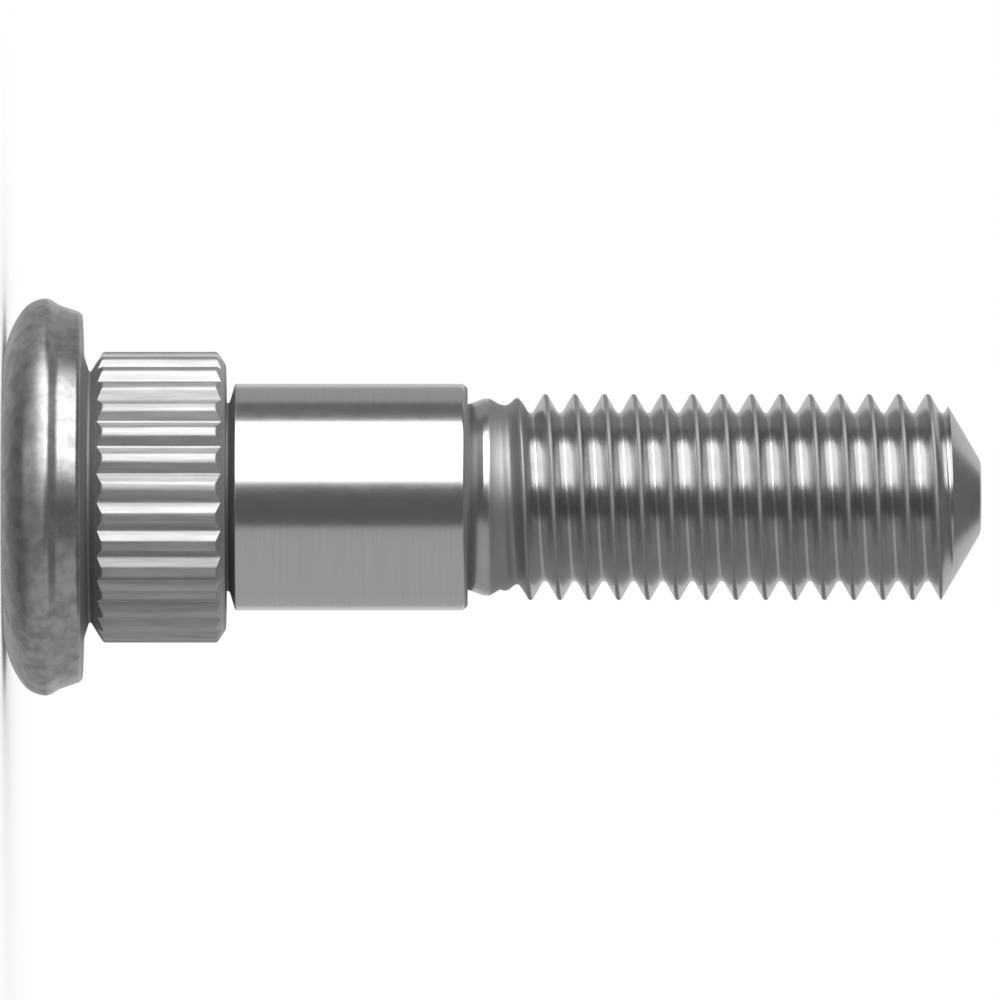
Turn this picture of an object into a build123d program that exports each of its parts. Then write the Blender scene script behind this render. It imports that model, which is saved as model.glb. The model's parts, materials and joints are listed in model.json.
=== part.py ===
from build123d import *
import math
import os

# Press-in wheel stud bolt, cold headed and rolled in one piece of steel.
# Lengths are in millimetres and angles in degrees.
# The stud stands on its head: the origin is the middle of the head's flat face,
# the axis is +Z and the threaded end points up.

# Head: a flat outer face, an edge of two blended arcs, and a flank that closes in to the underside
head_overhang = 3.6
head_thickness = 5.3
head_edge_width = 4.2
head_edge_tight_share = 0.68
head_widest_share = 0.53
head_flank_drop = 0.9
head_rim_chamfer = 0.2
seat_clearance = 0.1

# Neck: the tapered groove between the head's underside and the serrations
neck_depth = 1.35
neck_length = 0.6
neck_taper_share = 0.75

# Serrated band: straight ridges that are pressed into a hub
serration_diameter = 19.8
serration_length = 9.2
serration_lead_length = 0.87
serration_end_length = 0.6
serration_end_depth = 0.9
serration_count = 31
serration_start_angle = 5
serration_depth = 0.4
serration_root_width = 0.12
serration_angle = 110
serration_cut_overrun = 0.2

# Relief: the groove between the serrations and the shank, with a flat floor and a sloping side
relief_length = 0.6
relief_depth = 1.3
relief_floor_share = 0.4

# Shank: the plain cylinder
shank_diameter = 15.4
shank_length = 15.8
shank_chamfer = 0.3

# Collar: the short plain neck that widens from the shank to the threaded end
collar_length = 1.1
collar_depth = 0.7
collar_taper = 0.4

# Threaded end: the nut's stretch at full diameter, and a cone point with a rounded end
thread_diameter = 14.0
thread_length = 33.8
point_diameter = 4.8
point_length = 2.7
point_edge_radius = 0.6

# Radii that follow from the sizes above
serration_radius = serration_diameter / 2
serration_root_radius = serration_radius - serration_depth
serration_mouth_radius = serration_radius + serration_cut_overrun
head_radius = serration_radius + head_overhang
head_face_radius = head_radius - head_edge_width
head_rim_radius = head_radius - head_flank_drop
seat_inner_radius = serration_radius + seat_clearance
neck_radius = serration_radius - neck_depth
shank_radius = shank_diameter / 2
relief_radius = shank_radius - relief_depth
thread_radius = thread_diameter / 2
collar_radius = thread_radius - collar_depth
collar_top_radius = collar_radius + collar_taper
thread_lead = thread_radius - collar_top_radius
point_radius = point_diameter / 2

# Heights above the head's face
head_widest_height = head_thickness * head_widest_share
neck_taper_top = head_thickness + neck_length * neck_taper_share
neck_top = head_thickness + neck_length
serration_top = neck_top + serration_length
relief_floor_top = serration_top + relief_length * relief_floor_share
shank_bottom = serration_top + relief_length
shank_top = shank_bottom + shank_length
collar_top = shank_top + collar_length
stud_length = collar_top + thread_length

# Head edge: a tight arc stands upright at the widest place and blends into a wide arc from the face
tight_arc_radius = head_widest_height * head_edge_tight_share
arc_centres_apart = head_edge_width - tight_arc_radius
tight_arc_lift = head_widest_height - tight_arc_radius
wide_arc_radius = (
    arc_centres_apart**2 + head_widest_height**2 - tight_arc_radius**2
) / (2 * tight_arc_lift)
blend_angle = math.degrees(math.atan2(arc_centres_apart, wide_arc_radius - head_widest_height))


def stud_blank():
    """The headed and turned blank: one outline of radius and height, turned about the axis."""
    with BuildPart() as blank:
        with BuildSketch(Plane.XZ):
            with BuildLine():
                # Head: face, rounded edge, flank, rim and underside
                Line((0, 0), (head_face_radius, 0))
                CenterArc((head_face_radius, wide_arc_radius), wide_arc_radius, 270, blend_angle)
                CenterArc(
                    (head_radius - tight_arc_radius, head_widest_height),
                    tight_arc_radius, 270 + blend_angle, 90 - blend_angle,
                )
                Polyline(
                    (head_radius, head_widest_height),
                    (head_rim_radius, head_thickness - head_rim_chamfer),
                    (head_rim_radius - head_rim_chamfer, head_thickness),
                    (seat_inner_radius, head_thickness),
                )
                # Neck
                Polyline(
                    (seat_inner_radius, head_thickness),
                    (neck_radius, neck_taper_top),
                    (neck_radius, neck_top),
                )
                # Serrated band, from its lead cone to its chamfered end
                Polyline(
                    (neck_radius, neck_top),
                    (serration_radius, neck_top + serration_lead_length),
                    (serration_radius, serration_top - serration_end_length),
                    (serration_radius - serration_end_depth, serration_top),
                )
                # Relief
                Polyline(
                    (serration_radius - serration_end_depth, serration_top),
                    (relief_radius, serration_top),
                    (relief_radius, relief_floor_top),
                    (shank_radius, shank_bottom),
                )
                # Shank and collar
                Polyline(
                    (shank_radius, shank_bottom),
                    (shank_radius, shank_top - shank_chamfer),
                    (shank_radius - shank_chamfer, shank_top),
                    (collar_radius, shank_top),
                    (collar_top_radius, collar_top),
                )
                # Threaded end and point, then back along the axis
                Polyline(
                    (collar_top_radius, collar_top),
                    (thread_radius, collar_top + thread_lead),
                    (thread_radius, stud_length - point_length),
                    (point_radius, stud_length),
                    (0, stud_length),
                    (0, 0),
                )
            make_face()
        revolve(axis=Axis.Z)
        point_edge = blank.edges().filter_by(GeomType.CIRCLE).sort_by(Axis.Z)[-1]
        fillet(point_edge, radius=point_edge_radius)
    return blank.part


def serration_grooves():
    """The straight V grooves that leave the serrations standing, spaced round the axis."""
    half_root = serration_root_width / 2
    groove_depth = serration_mouth_radius - serration_root_radius
    half_mouth = half_root + groove_depth * math.tan(math.radians(serration_angle / 2))
    bottom = neck_top - neck_length / 2
    top = serration_top + relief_length / 2
    with BuildPart() as grooves:
        with BuildSketch(Plane.XY.offset(bottom)):
            with PolarLocations(0, serration_count, serration_start_angle):
                Polygon(
                    (serration_root_radius, -half_root),
                    (serration_mouth_radius, -half_mouth),
                    (serration_mouth_radius, half_mouth),
                    (serration_root_radius, half_root),
                    align=None,
                )
        extrude(amount=top - bottom)
    return grooves.part


stud_bolt = stud_blank() - serration_grooves()

os.makedirs("parts", exist_ok=True)
export_step(stud_bolt, "parts/stud_bolt.step")
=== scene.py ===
import json
import math
from typing import NamedTuple

import bmesh
import bpy
from bpy.props import FloatProperty, FloatVectorProperty, IntProperty, PointerProperty
from mathutils import Matrix, Vector


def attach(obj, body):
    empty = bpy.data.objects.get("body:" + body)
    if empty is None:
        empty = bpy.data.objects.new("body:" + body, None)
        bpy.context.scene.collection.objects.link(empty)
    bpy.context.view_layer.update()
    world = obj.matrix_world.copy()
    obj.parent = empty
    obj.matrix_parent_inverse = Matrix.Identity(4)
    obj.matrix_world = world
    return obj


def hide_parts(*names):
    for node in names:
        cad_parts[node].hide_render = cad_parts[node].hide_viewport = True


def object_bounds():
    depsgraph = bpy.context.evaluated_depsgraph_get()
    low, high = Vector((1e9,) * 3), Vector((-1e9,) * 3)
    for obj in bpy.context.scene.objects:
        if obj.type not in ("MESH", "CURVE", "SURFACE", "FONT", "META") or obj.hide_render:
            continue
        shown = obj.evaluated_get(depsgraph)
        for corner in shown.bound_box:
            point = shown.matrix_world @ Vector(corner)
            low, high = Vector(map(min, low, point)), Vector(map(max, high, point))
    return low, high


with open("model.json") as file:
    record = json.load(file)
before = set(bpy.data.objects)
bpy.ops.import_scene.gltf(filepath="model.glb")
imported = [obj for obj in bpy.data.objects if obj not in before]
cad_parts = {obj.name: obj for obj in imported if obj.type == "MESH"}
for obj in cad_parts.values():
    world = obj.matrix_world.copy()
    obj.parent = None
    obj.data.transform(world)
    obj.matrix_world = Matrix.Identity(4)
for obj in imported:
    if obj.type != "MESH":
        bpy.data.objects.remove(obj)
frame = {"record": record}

bl_info = {
    "name": "Wheel Stud",
    "version": (1, 0, 0),
    "blender": (4, 5, 0),
    "location": "View3D > Sidebar > Wheel Stud",
    "description": "Models a headed, serrated and threaded wheel stud and sets a small studio round it",
    "category": "Add Mesh",
}

MM = 0.001

# Points that lie closer than this are one point
TOUCH = 0.002 * MM

# Height of the seam that joins the thread to the turned blank
SEAM = 0.04 * MM

# Edges that bend by more than this stay sharp in the shading
SHARP_BEND = math.radians(32)

# Steps in the roundings of the outlines, and in the sweep of a card
ARC_STEPS = 10
ROOT_STEPS = 8
BLEND_STEPS = 6
SOFT_STEPS = 4
EDGE_STEPS = 3
NECK_STEPS = 2
CARD_STEPS = 24

# The solid's box and mounts give the main sizes
cad_low, cad_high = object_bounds()
mounts = {mount["name"]: mount for mount in frame["record"]["mounts"]}
stud_length = cad_high.z
head_radius = cad_high.x
head_thickness = mounts["head_seat"]["pos_m"][2]
serration_radius = mounts["serrations"]["dims"]["r_mm"] * MM
shank_radius = mounts["shank"]["dims"]["r_mm"] * MM
thread_radius = mounts["thread"]["dims"]["r_mm"] * MM


def mount_end(name, side):
    """The height of a round mount's lower (-1) or upper (1) end."""
    mount = mounts[name]
    return mount["pos_m"][2] + side * mount["dims"]["length_mm"] * MM / 2


def length(name, description, default):
    """A size in metres that a user can change."""
    return FloatProperty(
        name=name, description=description, default=default, min=0.0, precision=5, unit="LENGTH"
    )


def turn(name, description, degrees):
    """An angle that a user can change."""
    return FloatProperty(
        name=name, description=description, default=math.radians(degrees), subtype="ANGLE"
    )


def share(name, description, default):
    """A share from 0 to 1 that a user can change."""
    return FloatProperty(
        name=name, description=description, default=default, min=0.0, max=1.0, subtype="FACTOR"
    )


def span(name, description, low, high):
    """A lowest and a highest share that a user can change."""
    return FloatVectorProperty(
        name=name, description=description, default=(low, high), min=0.0, max=1.0, size=2
    )


def grey(name, description, level):
    """A neutral colour that a user can change."""
    return FloatVectorProperty(
        name=name, description=description, default=(level, level, level),
        min=0.0, max=1.0, size=3, subtype="COLOR",
    )


class StudSizes(bpy.types.PropertyGroup):
    """Sizes of the stud that the solid's box and mounts don't give."""

    head_edge_width: length("Head edge width", "From the flat face to the widest place", 4.2 * MM)
    head_widest_height: length("Widest height", "Height of the head's widest place", 2.809 * MM)
    head_tight_radius: length("Tight edge radius", "Edge radius at the widest place", 1.91 * MM)
    head_flank_drop: length("Flank drop", "How far the flank closes in to the underside", 0.9 * MM)
    head_edge_blend: length("Edge blend", "Setback of the rounding below the bevel", 0.25 * MM)
    head_bevel_drop: length("Bevel drop", "How far the bevel past the edge closes in", 0.44 * MM)
    head_bevel_height: length("Bevel height", "Height of the bevel past the edge", 0.66 * MM)
    head_rim_chamfer: length("Rim chamfer", "Chamfer at the underside's rim", 0.2 * MM)
    seat_clearance: length("Seat clearance", "From the serrations to the seat's edge", 0.1 * MM)
    neck_radius: length("Neck radius", "Radius of the groove under the head", 8.55 * MM)
    neck_taper: length("Neck taper", "Height of the neck's tapered side", 0.45 * MM)
    neck_length: length("Neck length", "Height of the groove under the head", 0.6 * MM)
    serration_end_depth: length("Band end depth", "Drop of the serrations' end chamfer", 0.9 * MM)
    serration_end_length: length("Band end length", "Height of the end chamfer", 0.6 * MM)
    serration_count: IntProperty(
        name="Serrations", description="Number of ridges round the band", default=31, min=3
    )
    serration_start: turn("First groove", "Angle of the first serration groove", 5)
    serration_depth: length("Groove depth", "Depth of a serration groove", 0.48 * MM)
    serration_root: length("Groove root", "Width of a serration groove's floor", 0.12 * MM)
    serration_slope: turn("Ridge slope", "Slope of a ridge's sides from its top", 36)
    serration_edge: length("Ridge edge radius", "Radius at the edges of a ridge's top", 0.6 * MM)
    relief_radius: length("Relief radius", "Radius of the groove's floor below the shank", 6.4 * MM)
    relief_floor: length("Relief floor", "Height of the relief's flat floor", 0.24 * MM)
    shank_chamfer: length("Shank chamfer", "Chamfer at the shank's upper end", 0.3 * MM)
    collar_radius: length("Collar radius", "Radius of the collar at the shank", 6.3 * MM)
    collar_top_radius: length("Collar top radius", "Radius of the collar at the thread", 6.7 * MM)
    collar_length: length("Collar length", "Height of the collar below the thread", 1.1 * MM)
    collar_rim: length("Collar rim", "Height of the rim between collar and run-out", 0.38 * MM)
    runout_radius: length("Run-out radius", "Radius where the thread runs out", 6.3 * MM)
    runout_side: length("Run-out side", "Height of the run-out's sloping side", 0.75 * MM)
    runout_length: length("Run-out", "Height over which the thread grows to its depth", 1.7 * MM)
    thread_pitch: length("Thread pitch", "Rise of the thread in one turn", 2.0 * MM)
    thread_flank: turn("Thread flank", "Slope of a thread flank from square to the axis", 30)
    thread_crest: length("Thread crest", "Width of the thread's crest before rounding", 0.22 * MM)
    thread_root_radius: length("Root radius", "Radius at the bottom of the thread", 0.3 * MM)
    thread_crest_setback: length("Crest rounding", "Setback of the crest's rounding", 0.09 * MM)
    thread_phase: length("Thread phase", "Height of a crest on +X, within one pitch", 1.78 * MM)
    point_radius: length("Point radius", "Radius of the end face before rounding", 2.4 * MM)
    point_length: length("Point length", "Height of the cone point", 2.7 * MM)
    point_rounding: length("Point rounding", "Setback of the rounding at the end face", 0.3 * MM)
    forged_rounding: length("Forged rounding", "Setback at the forged edges", 0.15 * MM)
    ground_rounding: length("Ground rounding", "Setback at the tops of band and shank", 0.12 * MM)
    turned_rounding: length("Turned rounding", "Setback at the rims and in the relief", 0.1 * MM)
    fine_rounding: length("Fine rounding", "Setback at the finest edges", 0.08 * MM)
    neck_rounding: length("Neck rounding", "Setback in the neck's upper corner", 0.06 * MM)
    round_steps: IntProperty(
        name="Steps round", description="Divisions of a full turn", default=96, min=32
    )


class SteelFinish(bpy.types.PropertyGroup):
    """Colours, dullness, gloss and grain of the steel."""

    bright_colour: grey("Bright steel", "Colour of the turned and rolled steel", 0.66)
    dull_colour: grey("Dull steel", "Colour of the forged head's scale", 0.3)
    # Painted shade: this colour darkens the neck, the relief groove and the shank's step, and the
    # thread's crests
    painted_shade_and_crest_colour: grey("Groove steel", "Colour in narrow grooves and on the thread's crests", 0.39)
    head_dullness: span("Head dullness", "From bright to dull steel on the forged head", 0.35, 0.85)
    band_dullness: span("Band dullness", "From bright to dull steel on the serrations", 0.3, 0.55)
    shank_dullness: span("Shank dullness", "From bright to dull steel on the shank", 0.0, 0.08)
    thread_dullness: span("Thread dullness", "From bright to dull steel on the thread", 0.2, 0.4)
    runout_dullness: share("Run-out dullness", "Dullness where the thread runs out", 0.8)
    shank_roughness: share("Shank roughness", "Roughness of the ground shank", 0.19)
    thread_roughness: share("Thread roughness", "Roughness of the rolled thread", 0.24)
    serration_roughness: share("Serration roughness", "Roughness of the serrated band", 0.5)
    head_roughness: share("Head roughness", "Roughness of the head's flank and underside", 0.3)
    edge_roughness: share("Edge roughness", "Roughness of the head's face and rounded edge", 0.45)
    groove_roughness: share("Groove roughness", "Roughness in grooves and on crests", 0.65)
    relief_strength: share("Grain strength", "Strength of the grain's relief", 0.06)
    relief_depth: length("Grain depth", "Depth of the grain's relief", 0.03 * MM)


class StudioStage(bpy.types.PropertyGroup):
    """The floor, the lamp, the surroundings and the camera."""

    floor_colour: grey("Floor", "Colour of the floor", 0.9)
    floor_radius: length("Floor radius", "Radius of the floor", 0.16)
    view_width: length("View width", "Width of the picture at the stud", 0.068)
    view_distance: length("View distance", "From the camera to the stud's axis", 1.6)
    view_height: length("View height", "Height of the picture's middle", 33.7 * MM)
    view_side: length("View side", "Sideways place of the picture's middle", 0.2 * MM)
    key_strength: FloatProperty(
        name="Key strength", description="Brightness of the softbox's face", default=1.9, min=0.0
    )
    ambient: share("Ambient", "Light of the white surroundings on dull surfaces", 1.0)


class Corner(NamedTuple):
    """A corner of a turned outline, with the setback and the steps of its rounding."""

    radius: float
    height: float
    setback: float = 0.0
    steps: int = 0

    def place(self):
        """Where the corner is drawn."""
        return Vector((self.radius, 0, self.height))


def deselect_all():
    """Object mode with nothing selected."""
    if bpy.context.mode != "OBJECT":
        bpy.ops.object.mode_set(mode="OBJECT")
    bpy.ops.object.select_all(action="DESELECT")


def edit_only(piece):
    """Edit mode on one piece, with all of its mesh selected."""
    deselect_all()
    piece.select_set(True)
    bpy.context.view_layer.objects.active = piece
    bpy.ops.object.mode_set(mode="EDIT")
    bpy.ops.mesh.select_mode(type="VERT")
    bpy.ops.mesh.select_all(action="SELECT")


def draw_line(name, places):
    """A wire line in edit mode, drawn by extruding one vertex from place to place."""
    deselect_all()
    bpy.ops.mesh.primitive_plane_add(size=MM, location=(0, 0, 0))
    piece = bpy.context.active_object
    piece.name = piece.data.name = name
    edit_only(piece)
    bpy.ops.mesh.merge(type="CENTER")
    bpy.ops.transform.translate(value=places[0])
    for here, there in zip(places, places[1:]):
        bpy.ops.mesh.extrude_region_move(TRANSFORM_OT_translate={"value": there - here})
    return piece


def round_corner(piece, corner):
    """Rounds one corner of the outline that is being drawn, by a vertex bevel."""
    mesh = bmesh.from_edit_mesh(piece.data)
    for vertex in mesh.verts:
        vertex.select_set((vertex.co - corner.place()).length < TOUCH)
    mesh.select_flush_mode()
    if not any(vertex.select for vertex in mesh.verts):
        raise RuntimeError(f"{piece.name} has no corner at {corner}")
    bmesh.update_edit_mesh(piece.data)
    bpy.ops.mesh.bevel(
        offset=corner.setback, offset_type="OFFSET", segments=corner.steps,
        profile=0.5, affect="VERTICES",
    )


def draw_outline(name, corners):
    """A wire outline in edit mode, drawn from corner to corner and then rounded."""
    piece = draw_line(name, [corner.place() for corner in corners])
    for corner in corners:
        if corner.setback:
            round_corner(piece, corner)
    return piece


def divide_long_edges(piece, limit, cuts):
    """Divides each edge that is longer than a limit, on the outline that is being drawn."""
    mesh = bmesh.from_edit_mesh(piece.data)
    bpy.ops.mesh.select_all(action="DESELECT")
    bpy.ops.mesh.select_mode(type="EDGE")
    for edge in mesh.edges:
        edge.select_set(edge.calc_length() > limit)
    bmesh.update_edit_mesh(piece.data)
    bpy.ops.mesh.subdivide(number_cuts=cuts)
    bpy.ops.mesh.select_mode(type="VERT")


def select_rims(piece, low, high):
    """Edit mode with the open rims between two heights selected."""
    edit_only(piece)
    bpy.ops.mesh.select_all(action="DESELECT")
    bpy.ops.mesh.select_mode(type="EDGE")
    mesh = bmesh.from_edit_mesh(piece.data)
    for edge in mesh.edges:
        if len(edge.link_faces) == 1 and low < edge.verts[0].co.z < high:
            edge.select_set(True)
    bmesh.update_edit_mesh(piece.data)


def close_up(piece):
    """Merges what touches and turns all faces outwards."""
    edit_only(piece)
    bpy.ops.mesh.remove_doubles(threshold=TOUCH)
    bpy.ops.mesh.normals_make_consistent(inside=False)
    bpy.ops.object.mode_set(mode="OBJECT")


def spin_outline(piece, steps):
    """Turns a drawn outline once about the axis."""
    edit_only(piece)
    bpy.ops.mesh.spin(steps=steps, angle=math.tau, center=(0, 0, 0), axis=(0, 0, 1))
    close_up(piece)


def apply_modifier(piece, modifier):
    """Applies one modifier to its piece."""
    deselect_all()
    piece.select_set(True)
    bpy.context.view_layer.objects.active = piece
    bpy.ops.object.modifier_apply(modifier=modifier.name)


def cut_level(piece, height, keep_above):
    """Cuts a piece at a height and keeps one side, with an open rim."""
    edit_only(piece)
    bpy.ops.mesh.bisect(
        plane_co=(0, 0, height), plane_no=(0, 0, 1),
        clear_inner=keep_above, clear_outer=not keep_above, threshold=TOUCH / 10,
    )
    close_up(piece)


def cut_away(piece, cutter):
    """Cuts one piece by another and removes the cutter."""
    boolean = piece.modifiers.new("cut", "BOOLEAN")
    boolean.operation = "DIFFERENCE"
    boolean.solver = "EXACT"
    boolean.object = cutter
    apply_modifier(piece, boolean)
    bpy.data.objects.remove(cutter)
    close_up(piece)


def open_edges(piece):
    """How many edges don't lie between exactly two faces."""
    mesh = bmesh.new()
    mesh.from_mesh(piece.data)
    count = sum(len(edge.link_faces) != 2 for edge in mesh.edges)
    mesh.free()
    return count


def thread_foot(sizes):
    """The height where the run-out groove's floor begins and the thread grows out of it."""
    collar_top = mount_end("shank", 1) + sizes.shank_chamfer + sizes.collar_length
    return collar_top + sizes.collar_rim + sizes.runout_side


def head_corners(sizes):
    """The head's corners, from the middle of its face to the inner edge of its seat."""
    # The edge is a wide arc and a tight arc, drawn as two corners that are rounded until they meet
    arcs_apart = sizes.head_edge_width - sizes.head_tight_radius
    wide_radius = (
        arcs_apart**2 + sizes.head_widest_height**2 - sizes.head_tight_radius**2
    ) / (2 * (sizes.head_widest_height - sizes.head_tight_radius))
    blend = math.atan2(arcs_apart, wide_radius - sizes.head_widest_height)
    wide_setback = wide_radius * math.tan(blend / 2)
    tight_setback = sizes.head_tight_radius * math.tan((math.pi / 2 - blend) / 2)

    face_radius = head_radius - sizes.head_edge_width
    bevel_radius = head_radius - sizes.head_bevel_drop
    rim_radius = head_radius - sizes.head_flank_drop
    seat_radius = serration_radius + sizes.seat_clearance
    bevel_bottom = sizes.head_widest_height + sizes.head_edge_blend
    bevel_top = bevel_bottom + sizes.head_bevel_height
    chamfer = sizes.head_rim_chamfer
    return [
        Corner(0, 0),
        Corner(face_radius + wide_setback, 0, wide_setback, ARC_STEPS),
        Corner(head_radius, sizes.head_widest_height - tight_setback, tight_setback, ARC_STEPS),
        Corner(head_radius, bevel_bottom, sizes.head_edge_blend, BLEND_STEPS),
        Corner(bevel_radius, bevel_top, sizes.forged_rounding, SOFT_STEPS),
        Corner(rim_radius, head_thickness - chamfer, sizes.turned_rounding, EDGE_STEPS),
        Corner(rim_radius - chamfer, head_thickness, sizes.turned_rounding, EDGE_STEPS),
        Corner(seat_radius, head_thickness, sizes.forged_rounding, EDGE_STEPS),
    ]


def band_corners(sizes):
    """The corners of the neck, the serrated band before its grooves are cut, and the relief."""
    neck_low = head_thickness + sizes.neck_taper
    neck_top = head_thickness + sizes.neck_length
    band_bottom = mount_end("serrations", -1)
    band_top = mount_end("serrations", 1)
    band_end = band_top + sizes.serration_end_length
    end_radius = serration_radius - sizes.serration_end_depth
    floor_top = band_end + sizes.relief_floor
    return [
        Corner(sizes.neck_radius, neck_low, sizes.fine_rounding, EDGE_STEPS),
        Corner(sizes.neck_radius, neck_top, sizes.neck_rounding, NECK_STEPS),
        Corner(serration_radius, band_bottom, sizes.forged_rounding, EDGE_STEPS),
        Corner(serration_radius, band_top, sizes.ground_rounding, EDGE_STEPS),
        Corner(end_radius, band_end, sizes.turned_rounding, EDGE_STEPS),
        Corner(sizes.relief_radius, band_end, sizes.turned_rounding, EDGE_STEPS),
        Corner(sizes.relief_radius, floor_top, sizes.turned_rounding, EDGE_STEPS),
    ]


def shank_corners(sizes):
    """The corners of the shank, the collar and the run-out groove."""
    shank_bottom = mount_end("shank", -1)
    shank_end = mount_end("shank", 1)
    shank_rim_radius = shank_radius - sizes.shank_chamfer
    collar_bottom = shank_end + sizes.shank_chamfer
    collar_top = collar_bottom + sizes.collar_length
    rim_top = collar_top + sizes.collar_rim
    floor_bottom = thread_foot(sizes)
    return [
        Corner(shank_radius, shank_bottom, sizes.fine_rounding, EDGE_STEPS),
        Corner(shank_radius, shank_end, sizes.ground_rounding, EDGE_STEPS),
        Corner(shank_rim_radius, collar_bottom, sizes.turned_rounding, EDGE_STEPS),
        Corner(sizes.collar_radius, collar_bottom),
        Corner(sizes.collar_top_radius, collar_top, sizes.fine_rounding, EDGE_STEPS),
        Corner(sizes.collar_top_radius, rim_top, sizes.fine_rounding, EDGE_STEPS),
        Corner(sizes.runout_radius, floor_bottom - SEAM),
        Corner(sizes.runout_radius, floor_bottom),
    ]


def turned_blank(sizes):
    """The stud below its thread, spun from one outline."""
    blank = draw_outline("stud", head_corners(sizes) + band_corners(sizes) + shank_corners(sizes))
    spin_outline(blank, sizes.round_steps)
    return blank


def screwed_thread(sizes, bottom):
    """One pitch of the thread's outline, screwed up the axis from below a height to past the point."""
    pitch = sizes.thread_pitch
    half_crest = sizes.thread_crest / 2
    sharp_root = thread_radius - (pitch / 2 - half_crest) / math.tan(sizes.thread_flank)
    root_setback = sizes.thread_root_radius / math.tan(sizes.thread_flank)
    crest_setback = sizes.thread_crest_setback
    spare_turns = 1
    flank_cuts = 2
    turns_below = math.floor((bottom - sizes.thread_phase) / pitch) - spare_turns
    start = sizes.thread_phase + turns_below * pitch
    end = start + pitch

    # The crests are rounded first, and then the root between them
    root = Corner(sharp_root, start + pitch / 2)
    thread = draw_outline("thread", [
        Corner(thread_radius, start),
        Corner(thread_radius, start + half_crest, crest_setback, EDGE_STEPS),
        root,
        Corner(thread_radius, end - half_crest, crest_setback, EDGE_STEPS),
        Corner(thread_radius, end),
    ])
    round_corner(thread, root._replace(setback=root_setback, steps=ROOT_STEPS))
    divide_long_edges(thread, sizes.thread_crest, flank_cuts)
    bpy.ops.object.mode_set(mode="OBJECT")
    screw = thread.modifiers.new("turns", "SCREW")
    screw.axis = "Z"
    screw.angle = math.tau
    screw.screw_offset = pitch
    screw.iterations = math.ceil((stud_length - start) / pitch) + spare_turns
    screw.steps = screw.render_steps = sizes.round_steps
    apply_modifier(thread, screw)
    close_up(thread)
    return thread


def fade_thread(thread, sizes, bottom):
    """Presses the thread's foot onto the run-out groove's floor, less and less with its height."""
    fade = thread.vertex_groups.new(name="run_out")
    for vertex in thread.data.vertices:
        rise = min(max((vertex.co.z - bottom) / sizes.runout_length, 0), 1)
        fade.add([vertex.index], 1 - rise, "REPLACE")
    cast = thread.modifiers.new("run_out", "CAST")
    cast.cast_type = "CYLINDER"
    cast.use_radius_as_size = False
    cast.radius = 0
    cast.size = sizes.runout_radius
    cast.factor = 1
    cast.vertex_group = fade.name
    apply_modifier(thread, cast)
    thread.vertex_groups.clear()


def rolled_thread(sizes):
    """The thread, from an open rim just above the blank's to a closed end past the cone point."""
    bottom = thread_foot(sizes) + SEAM
    overrun = sizes.thread_pitch / 4
    thread = screwed_thread(sizes, bottom)
    fade_thread(thread, sizes, bottom)
    cut_level(thread, bottom, keep_above=True)
    cut_level(thread, stud_length + overrun, keep_above=False)
    select_rims(thread, stud_length, stud_length + 2 * overrun)
    bpy.ops.mesh.edge_face_add()
    bpy.ops.object.mode_set(mode="OBJECT")
    return thread


def point_cutter(sizes):
    """What is cut away round and over the cone point."""
    slope = (thread_radius - sizes.point_radius) / sizes.point_length
    top = stud_length + sizes.thread_pitch
    outside = thread_radius + sizes.thread_pitch / 2
    cone_start = stud_length - (outside - sizes.point_radius) / slope
    cutter = draw_outline("point_cutter", [
        Corner(0, stud_length),
        Corner(sizes.point_radius, stud_length, sizes.point_rounding, SOFT_STEPS),
        Corner(outside, cone_start),
        Corner(outside, top),
        Corner(0, top),
    ])
    spin_outline(cutter, sizes.round_steps)
    return cutter


def groove_side(sizes):
    """One side of a serration groove, from its floor out past the ridge: radii and angles."""
    spacing = math.tau * serration_radius / sizes.serration_count
    floor_edge = (spacing - sizes.serration_root) / 2
    edge = sizes.serration_edge
    slope = sizes.serration_slope
    side_drop = sizes.serration_depth - edge * (1 - math.cos(slope))
    flat = floor_edge - edge * math.sin(slope) - side_drop / math.tan(slope)
    if flat < 0:
        raise RuntimeError("the serrations are too deep for their slope")

    # Each point is a distance from the ridge's middle and a depth: floor, side, rounded edge, outside
    section = [(floor_edge, sizes.serration_depth)]
    for step in range(BLEND_STEPS):
        lean = slope * (1 - step / BLEND_STEPS)
        section.append((flat + edge * math.sin(lean), edge * (1 - math.cos(lean))))
    section.append((section[-1][0], -sizes.serration_depth))
    return [
        (serration_radius - depth, (spacing / 2 - from_ridge) / serration_radius)
        for from_ridge, depth in section
    ]


def serration_cutter(sizes):
    """The prism of one serration groove, copied round the axis for every groove."""
    side = groove_side(sizes)
    other_side = [(radius, -angle) for radius, angle in side]
    bottom = head_thickness + sizes.neck_length / 2
    top = mount_end("serrations", 1) + sizes.serration_end_length + sizes.relief_floor / 2
    cutter = draw_line("serration_cutter", [
        Vector((radius * math.cos(angle), radius * math.sin(angle), bottom))
        for radius, angle in other_side + side[::-1]
    ])
    bpy.ops.mesh.select_all(action="SELECT")
    bpy.ops.mesh.edge_face_add()
    bpy.ops.mesh.extrude_region_move(TRANSFORM_OT_translate={"value": (0, 0, top - bottom)})
    bpy.ops.mesh.select_all(action="SELECT")
    bpy.ops.transform.rotate(
        value=-sizes.serration_start, orient_axis="Z", center_override=(0, 0, 0)
    )
    bpy.ops.mesh.spin(
        steps=sizes.serration_count, dupli=True, angle=math.tau,
        center=(0, 0, 0), axis=(0, 0, 1),
    )
    close_up(cutter)
    return cutter


def smooth_shading(piece):
    """Smooth faces between the sharp edges, with large faces setting the shading."""
    deselect_all()
    piece.select_set(True)
    bpy.context.view_layer.objects.active = piece
    bpy.ops.object.shade_smooth_by_angle(angle=SHARP_BEND)
    even_shading = piece.modifiers.new("even_shading", "WEIGHTED_NORMAL")
    even_shading.keep_sharp = True
    apply_modifier(piece, even_shading)


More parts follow.
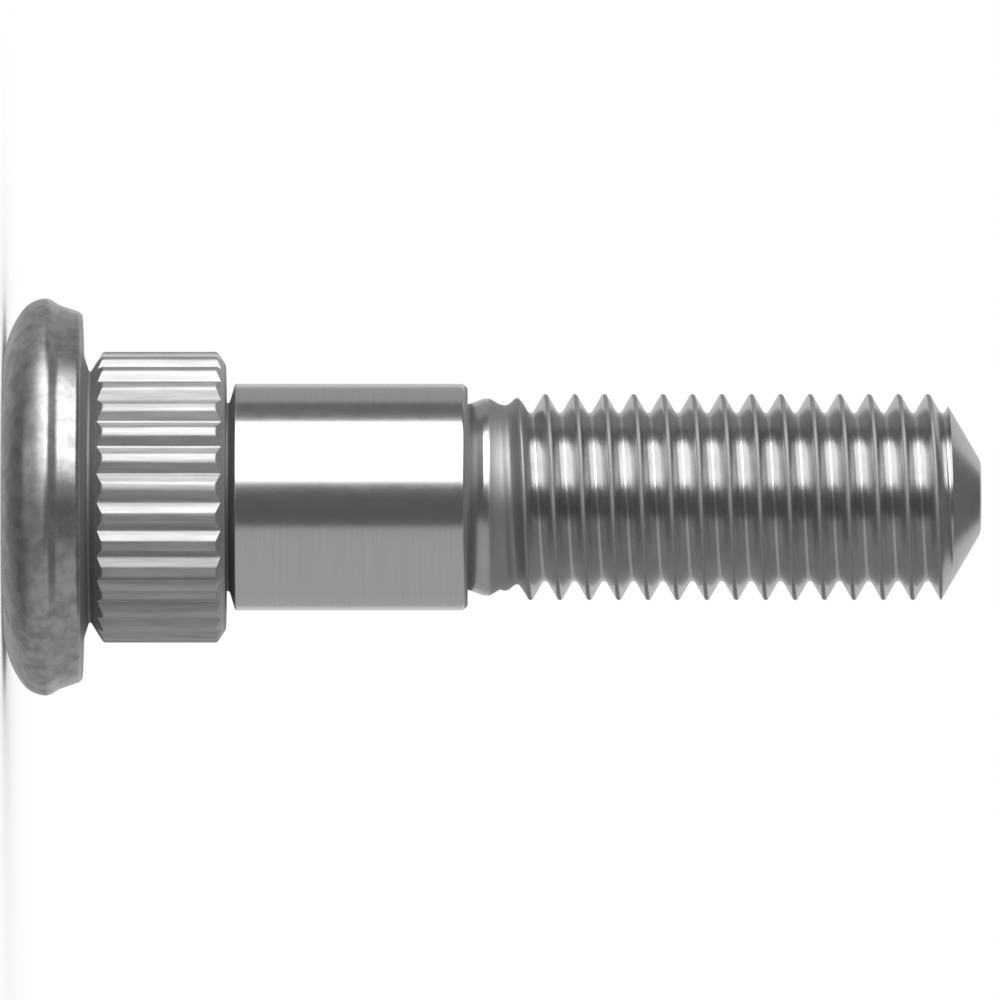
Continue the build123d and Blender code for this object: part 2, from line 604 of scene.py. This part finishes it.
class WHEELSTUD_OT_stud(bpy.types.Operator):
    """Models the stud in one piece: turned blank, serrations, rolled thread and cone point"""

    bl_idname = "wheel_stud.stud"
    bl_label = "Stud"

    def execute(self, context):
        sizes = context.scene.stud_sizes
        stud = turned_blank(sizes)
        thread = rolled_thread(sizes)
        deselect_all()
        thread.select_set(True)
        stud.select_set(True)
        context.view_layer.objects.active = stud
        bpy.ops.object.join()
        select_rims(stud, mount_end("shank", 1), mount_end("thread", 1))
        bpy.ops.mesh.bridge_edge_loops()
        close_up(stud)
        cut_away(stud, point_cutter(sizes))
        cut_away(stud, serration_cutter(sizes))
        if open_edges(stud):
            raise RuntimeError(f"the stud has {open_edges(stud)} open edges")
        smooth_shading(stud)
        stud.data.materials.clear()
        stud.data.materials.append(bright_steel(context.scene.steel_finish, sizes))
        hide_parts("stud_bolt")
        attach(stud, "root")
        return {"FINISHED"}


class NodeBoard:
    """Adds and links the nodes of one material or world."""

    def __init__(self, tree):
        self.tree = tree
        tree.nodes.clear()

    def add(self, kind, **settings):
        """Adds a node and sets its options."""
        node = self.tree.nodes.new(kind)
        for name, value in settings.items():
            setattr(node, name, value)
        return node

    def link(self, source, target):
        """Links an output to an input."""
        self.tree.links.new(source, target)

    def put(self, socket, value):
        """Links an output to a socket, or sets a constant on it."""
        if isinstance(value, bpy.types.NodeSocket):
            self.link(value, socket)
        else:
            socket.default_value = value

    def math(self, operation, first, second=0.0):
        """Works out one value from two."""
        node = self.add("ShaderNodeMath", operation=operation)
        self.put(node.inputs[0], first)
        self.put(node.inputs[1], second)
        return node.outputs[0]

    def ramp(self, value, low, high, to_low=0.0, to_high=1.0):
        """A smooth change from one level to another, between two values."""
        node = self.add("ShaderNodeMapRange", interpolation_type="SMOOTHSTEP")
        self.put(node.inputs["Value"], value)
        self.put(node.inputs["From Min"], low)
        self.put(node.inputs["From Max"], high)
        self.put(node.inputs["To Min"], to_low)
        self.put(node.inputs["To Max"], to_high)
        return node.outputs["Result"]

    def window(self, value, low, high, soften):
        """One between two values, nothing outside them, with soft edges."""
        return self.math(
            "MULTIPLY", self.ramp(value, low - soften, low), self.ramp(value, high + soften, high)
        )

    def mix(self, factor, first, second):
        """Mixes two numbers, which the node takes on its sockets 2 and 3."""
        node = self.add("ShaderNodeMix", data_type="FLOAT")
        self.put(node.inputs[0], factor)
        self.put(node.inputs[2], first)
        self.put(node.inputs[3], second)
        return node.outputs[0]

    def mix_colour(self, factor, first, second):
        """Mixes two colours, which the node takes on its sockets 6 and 7."""
        node = self.add("ShaderNodeMix", data_type="RGBA")
        self.put(node.inputs[0], factor)
        self.put(node.inputs[6], first)
        self.put(node.inputs[7], second)
        return node.outputs[2]

    def length_of(self, vector):
        """The length of a vector."""
        node = self.add("ShaderNodeVectorMath", operation="LENGTH")
        self.link(vector, node.inputs[0])
        return node.outputs["Value"]

    def grain(self, place, waves, detail, roughness=0.5):
        """Noise on the piece's own place, with so many waves to a metre along each axis."""
        mapping = self.add("ShaderNodeMapping")
        self.link(place, mapping.inputs["Vector"])
        mapping.inputs["Scale"].default_value = waves
        noise = self.add("ShaderNodeTexNoise")
        self.link(mapping.outputs["Vector"], noise.inputs["Vector"])
        noise.inputs["Scale"].default_value = 1.0
        noise.inputs["Detail"].default_value = detail
        noise.inputs["Roughness"].default_value = roughness
        return noise.outputs[0]


class SteelZones(NamedTuple):
    """Masks on the stud, each 1 inside its zone and 0 outside it."""

    head: bpy.types.NodeSocket
    flank: bpy.types.NodeSocket
    past_band: bpy.types.NodeSocket
    past_shank: bpy.types.NodeSocket
    runout: bpy.types.NodeSocket
    # Painted shade in the neck, the relief groove and at the shank's step, and the darker thread crests
    painted_shade_and_crests: bpy.types.NodeSocket

    def choose(self, board, head, band, shank, thread):
        """One value each for the head, the serrated band, the shank and the thread."""
        value = board.mix(self.past_band, band, shank)
        value = board.mix(self.past_shank, value, thread)
        return board.mix(self.head, value, head)


class SteelGrain(NamedTuple):
    """Noise for the head's mottling, the band's lines, the shank's rings and the thread's blotches."""

    mottle: bpy.types.NodeSocket
    lines: bpy.types.NodeSocket
    rings: bpy.types.NodeSocket
    blotches: bpy.types.NodeSocket


def steel_zones(board, place, sizes):
    """The stud's zones, told by the height and by the distance from the axis."""
    split = board.add("ShaderNodeSeparateXYZ")
    board.link(place, split.inputs[0])
    height = split.outputs["Z"]
    across = board.add("ShaderNodeCombineXYZ")
    board.link(split.outputs["X"], across.inputs["X"])
    board.link(split.outputs["Y"], across.inputs["Y"])
    reach = board.length_of(across.outputs[0])

    soften = 0.2 * MM
    head_end = head_thickness + soften
    widest = sizes.head_widest_height
    band_end = mount_end("shank", -1)
    shank_end = mount_end("shank", 1)
    runout_bottom = thread_foot(sizes) - sizes.runout_side
    runout_top = thread_foot(sizes) + sizes.runout_length
    past_shank = board.ramp(height, shank_end, shank_end + soften)

    # Painted shade darkens the neck, the relief groove and the shank's step, and the thread's crests
    # are darker too
    neck = board.window(height, head_thickness + soften / 2, head_thickness + 4 * soften, soften)
    relief = board.window(height, band_end - 3 * soften, band_end - soften, soften)
    step = board.window(height, shank_end + soften, shank_end + 2 * soften, soften / 2)
    crest = board.math(
        "MULTIPLY", board.ramp(reach, thread_radius - soften / 2, thread_radius), past_shank
    )
    painted_shade_and_crests = neck
    for zone in (relief, step, crest):
        painted_shade_and_crests = board.math("MAXIMUM", painted_shade_and_crests, zone)
    return SteelZones(
        head=board.ramp(height, head_end + soften, head_end - soften),
        flank=board.ramp(height, widest, widest + sizes.head_edge_blend),
        past_band=board.ramp(height, band_end - soften, band_end + soften),
        past_shank=past_shank,
        runout=board.window(height, runout_bottom + soften, runout_top, 2 * soften),
        painted_shade_and_crests=painted_shade_and_crests,
    )


def steel_grain(board, place):
    """The grain of each zone, fine or coarse across the stud and along it."""
    return SteelGrain(
        mottle=board.grain(place, waves=(900, 900, 900), detail=6.0, roughness=0.62),
        lines=board.grain(place, waves=(4200, 4200, 260), detail=3.0),
        rings=board.grain(place, waves=(120, 120, 9000), detail=3.0),
        blotches=board.grain(place, waves=(260, 260, 180), detail=3.0),
    )


def steel_colour(board, zones, grain, finish):
    """Bright steel that the grain dulls, with painted shade in the neck, the relief groove and at the
    shank's step, and darker thread crests.
    """
    # Where the noise is at the low end the steel is brightest, and at its own high end dullest
    low = 0.35
    mottle_high = 0.68
    line_high = 0.7
    ring_high = 0.75
    blotch_high = 0.7
    thread_dull = board.ramp(grain.blotches, low, blotch_high, *finish.thread_dullness)
    dull = zones.choose(
        board,
        head=board.ramp(grain.mottle, low, mottle_high, *finish.head_dullness),
        band=board.ramp(grain.lines, low, line_high, *finish.band_dullness),
        shank=board.ramp(grain.rings, low, ring_high, *finish.shank_dullness),
        thread=board.mix(zones.runout, thread_dull, finish.runout_dullness),
    )
    colour = board.mix_colour(dull, (*finish.bright_colour, 1), (*finish.dull_colour, 1))
    # Painted shade in the grooves and at the shank's step, and the darker crests, mixed over the
    # steel's colour
    return board.mix_colour(zones.painted_shade_and_crests, colour, (*finish.painted_shade_and_crest_colour, 1))


def steel_roughness(board, zones, grain, finish):
    """The roughness of each zone, with small changes by the mottling."""
    mottle_low = 0.3
    mottle_high = 0.7
    smoother = -0.012
    rougher = 0.016
    rough = zones.choose(
        board,
        head=board.mix(zones.flank, finish.edge_roughness, finish.head_roughness),
        band=finish.serration_roughness,
        shank=finish.shank_roughness,
        thread=finish.thread_roughness,
    )
    rough = board.mix(zones.runout, rough, finish.serration_roughness)
    rough = board.mix(zones.painted_shade_and_crests, rough, finish.groove_roughness)
    change = board.ramp(grain.mottle, mottle_low, mottle_high, smoother, rougher)
    return board.math("ADD", rough, change)


def steel_relief(board, zones, grain, finish):
    """The grain's fine relief."""
    bump = board.add("ShaderNodeBump")
    bump.inputs["Strength"].default_value = finish.relief_strength
    bump.inputs["Distance"].default_value = finish.relief_depth
    relief = zones.choose(
        board, head=grain.mottle, band=grain.lines, shank=grain.rings, thread=grain.blotches
    )
    board.link(relief, bump.inputs["Height"])
    return bump.outputs["Normal"]


def bright_steel(finish, sizes):
    """Steel with a dull mottled head, lined serrations, a ground shank and a rolled thread."""
    material = bpy.data.materials.new("bright_steel")
    material.use_nodes = True
    board = NodeBoard(material.node_tree)
    output = board.add("ShaderNodeOutputMaterial")
    steel = board.add("ShaderNodeBsdfPrincipled")
    board.link(steel.outputs["BSDF"], output.inputs["Surface"])
    steel.inputs["Metallic"].default_value = 1.0
    place = board.add("ShaderNodeTexCoord").outputs["Object"]
    zones = steel_zones(board, place, sizes)
    grain = steel_grain(board, place)
    board.link(steel_colour(board, zones, grain, finish), steel.inputs["Base Color"])
    board.link(steel_roughness(board, zones, grain, finish), steel.inputs["Roughness"])
    board.link(steel_relief(board, zones, grain, finish), steel.inputs["Normal"])
    return material


def plain_light(name, level):
    """A card's face that shines evenly at one level."""
    material = bpy.data.materials.new(name)
    material.use_nodes = True
    board = NodeBoard(material.node_tree)
    output = board.add("ShaderNodeOutputMaterial")
    shine = board.add("ShaderNodeEmission")
    shine.inputs["Color"].default_value = (1, 1, 1, 1)
    shine.inputs["Strength"].default_value = level
    board.link(shine.outputs[0], output.inputs["Surface"])
    return material


def show_in_steel(card, level):
    """Makes a card shine in the steel, and nowhere else."""
    card.data.materials.append(plain_light(card.name, level))
    card.visible_camera = False
    card.visible_diffuse = False
    card.visible_shadow = False


def turn_card(name, level, low_angle, high_angle, first, last):
    """A card swept round the stud from a line between two points, each a radius and a height.

    The angles are in degrees, from the camera's side up the picture.
    """
    side = Matrix.Rotation(-math.radians(low_angle), 3, "Z") @ Vector((0, -1, 0))
    card = draw_line(
        name, [side * radius + Vector((0, 0, height)) for radius, height in (first, last)]
    )
    bpy.ops.mesh.select_all(action="SELECT")
    bpy.ops.mesh.spin(
        steps=CARD_STEPS, angle=math.radians(high_angle - low_angle),
        center=(0, 0, 0), axis=(0, 0, 1),
    )
    close_up(card)
    show_in_steel(card, level)


def studio_cards():
    """The cards round, over and under the stud that shape what the steel shows."""
    reach = 0.4
    bottom = -0.4
    top = 0.45
    skirt_top = -0.15
    fill_reach = 0.1
    fill_height = -0.39
    lower = (reach, bottom)
    upper = (reach, top)

    # Each card has a name, a brightness, two angles and the two ends of the line that is swept
    for card in (
        ("dark_card", 0.12, -30, 16, lower, upper),
        ("low_card", 0.46, -150, -30, lower, upper),
        ("skirt_card", 0.12, 16, 82, lower, (reach, skirt_top)),
        ("fill_card", 0.9, 5, 62, (fill_reach, fill_height), (reach, fill_height)),
        ("high_card", 0.16, 82, 112, lower, upper),
        ("far_card", 0.4, 112, 150, lower, upper),
        ("back_card", 0.7, 150, 210, lower, upper),
        ("top_card", 0.17, 0, 360, (0, top), upper),
        ("under_card", 0.12, 0, 360, (0, bottom), lower),
    ):
        turn_card(*card)


def white_surroundings(world, ambient):
    """A white background that the steel shows too, with its own light on dull surfaces."""
    world.use_nodes = True
    board = NodeBoard(world.node_tree)
    output = board.add("ShaderNodeOutputWorld")
    path = board.add("ShaderNodeLightPath")
    seen = board.math("MAXIMUM", path.outputs["Is Camera Ray"], path.outputs["Is Glossy Ray"])
    seen = board.math("MAXIMUM", seen, path.outputs["Is Transmission Ray"])
    background = board.add("ShaderNodeBackground")
    background.inputs["Color"].default_value = (1, 1, 1, 1)
    board.link(board.mix(seen, ambient, 1.0), background.inputs["Strength"])
    board.link(background.outputs[0], output.inputs["Surface"])


def floor_paint(stage):
    """Pale paint near the stud, which runs out into plain white."""
    fade_start = head_radius * 1.1
    fade_end = stage.floor_radius * 0.9
    material = bpy.data.materials.new("pale_floor")
    material.use_nodes = True
    board = NodeBoard(material.node_tree)
    output = board.add("ShaderNodeOutputMaterial")
    paint = board.add("ShaderNodeBsdfDiffuse")
    paint.inputs["Color"].default_value = (*stage.floor_colour, 1)
    white = board.add("ShaderNodeEmission")
    white.inputs["Color"].default_value = (1, 1, 1, 1)
    place = board.add("ShaderNodeTexCoord").outputs["Object"]
    mixed = board.add("ShaderNodeMixShader")
    board.link(board.ramp(board.length_of(place), fade_start, fade_end), mixed.inputs[0])
    board.link(paint.outputs[0], mixed.inputs[1])
    board.link(white.outputs[0], mixed.inputs[2])
    board.link(mixed.outputs[0], output.inputs["Surface"])
    return material


def pale_floor(stage):
    """A round floor that keeps the stud's shadow and runs out into the white background."""
    sides = 96
    rim_width = stage.floor_radius / 4
    deselect_all()
    bpy.ops.mesh.primitive_circle_add(
        vertices=sides, radius=stage.floor_radius, fill_type="NGON", location=(0, 0, 0)
    )
    floor = bpy.context.active_object
    floor.name = floor.data.name = "floor"
    edit_only(floor)
    bpy.ops.mesh.inset(thickness=rim_width)
    bpy.ops.object.mode_set(mode="OBJECT")
    floor.data.materials.append(floor_paint(stage))
    floor.visible_glossy = False
    floor.visible_shadow = False


def softbox(strength):
    """The key lamp above the stud in the picture, on the camera's side."""
    angle = math.radians(49)
    distance = 0.5
    width = 0.65
    tall = 0.63
    height = 0.115
    deselect_all()
    bpy.ops.object.light_add(type="AREA", location=(0, 0, 0))
    lamp = bpy.context.active_object
    lamp.name = lamp.data.name = "softbox"
    lamp.data.shape = "RECTANGLE"
    lamp.data.size = width
    lamp.data.size_y = tall
    lamp.data.energy = strength * math.pi * width * tall
    away = Vector((-math.sin(angle), -math.cos(angle), 0))
    lamp.location = away * distance + Vector((0, 0, height))
    lamp.rotation_mode = "QUATERNION"
    lamp.rotation_quaternion = away.to_track_quat("Z", "Y")
    lamp.visible_camera = False


def long_lens(stage):
    """The camera: level, square to the stud's axis, and rolled so that the head is on the left."""
    deselect_all()
    bpy.ops.object.camera_add()
    camera = bpy.context.active_object
    camera.name = camera.data.name = "camera"
    camera.data.sensor_width = 36
    camera.data.lens = camera.data.sensor_width * stage.view_distance / stage.view_width
    camera.data.clip_end = 10
    right = Vector((0, 0, 1))
    up = Vector((-1, 0, 0))
    back = Vector((0, -1, 0))
    turn_to = Matrix((right, up, back)).transposed().to_4x4()
    middle = Vector((stage.view_side, 0, stage.view_height))
    camera.matrix_world = Matrix.Translation(middle + back * stage.view_distance) @ turn_to
    bpy.context.scene.camera = camera


class WHEELSTUD_OT_stage(bpy.types.Operator):
    """Sets the floor, the white surroundings, the cards, the softbox and the camera"""

    bl_idname = "wheel_stud.stage"
    bl_label = "Stage"

    def execute(self, context):
        stage = context.scene.studio_stage
        scene = context.scene
        scene.view_settings.view_transform = "Standard"
        if scene.world is None:
            scene.world = bpy.data.worlds.new("surroundings")
        white_surroundings(scene.world, stage.ambient)
        pale_floor(stage)
        softbox(stage.key_strength)
        studio_cards()
        long_lens(stage)
        return {"FINISHED"}


class WHEELSTUD_PT_panel(bpy.types.Panel):
    """Lists the sizes, the finish, the stage and their operators"""

    bl_idname = "WHEELSTUD_PT_panel"
    bl_label = "Wheel Stud"
    bl_space_type = "VIEW_3D"
    bl_region_type = "UI"
    bl_category = "Wheel Stud"

    def draw(self, context):
        scene = context.scene
        for group, operator in (
            (scene.stud_sizes, "wheel_stud.stud"),
            (scene.steel_finish, None),
            (scene.studio_stage, "wheel_stud.stage"),
        ):
            box = self.layout.box()
            for name in group.__annotations__:
                box.prop(group, name)
            if operator:
                box.operator(operator)


classes = (
    StudSizes,
    SteelFinish,
    StudioStage,
    WHEELSTUD_OT_stud,
    WHEELSTUD_OT_stage,
    WHEELSTUD_PT_panel,
)


def register():
    for one_class in classes:
        bpy.utils.register_class(one_class)
    bpy.types.Scene.stud_sizes = PointerProperty(type=StudSizes)
    bpy.types.Scene.steel_finish = PointerProperty(type=SteelFinish)
    bpy.types.Scene.studio_stage = PointerProperty(type=StudioStage)


def unregister():
    del bpy.types.Scene.studio_stage
    del bpy.types.Scene.steel_finish
    del bpy.types.Scene.stud_sizes
    for one_class in reversed(classes):
        bpy.utils.unregister_class(one_class)


def main():
    register()
    bpy.ops.wheel_stud.stud()
    bpy.ops.wheel_stud.stage()


if __name__ == "__main__":
    main()
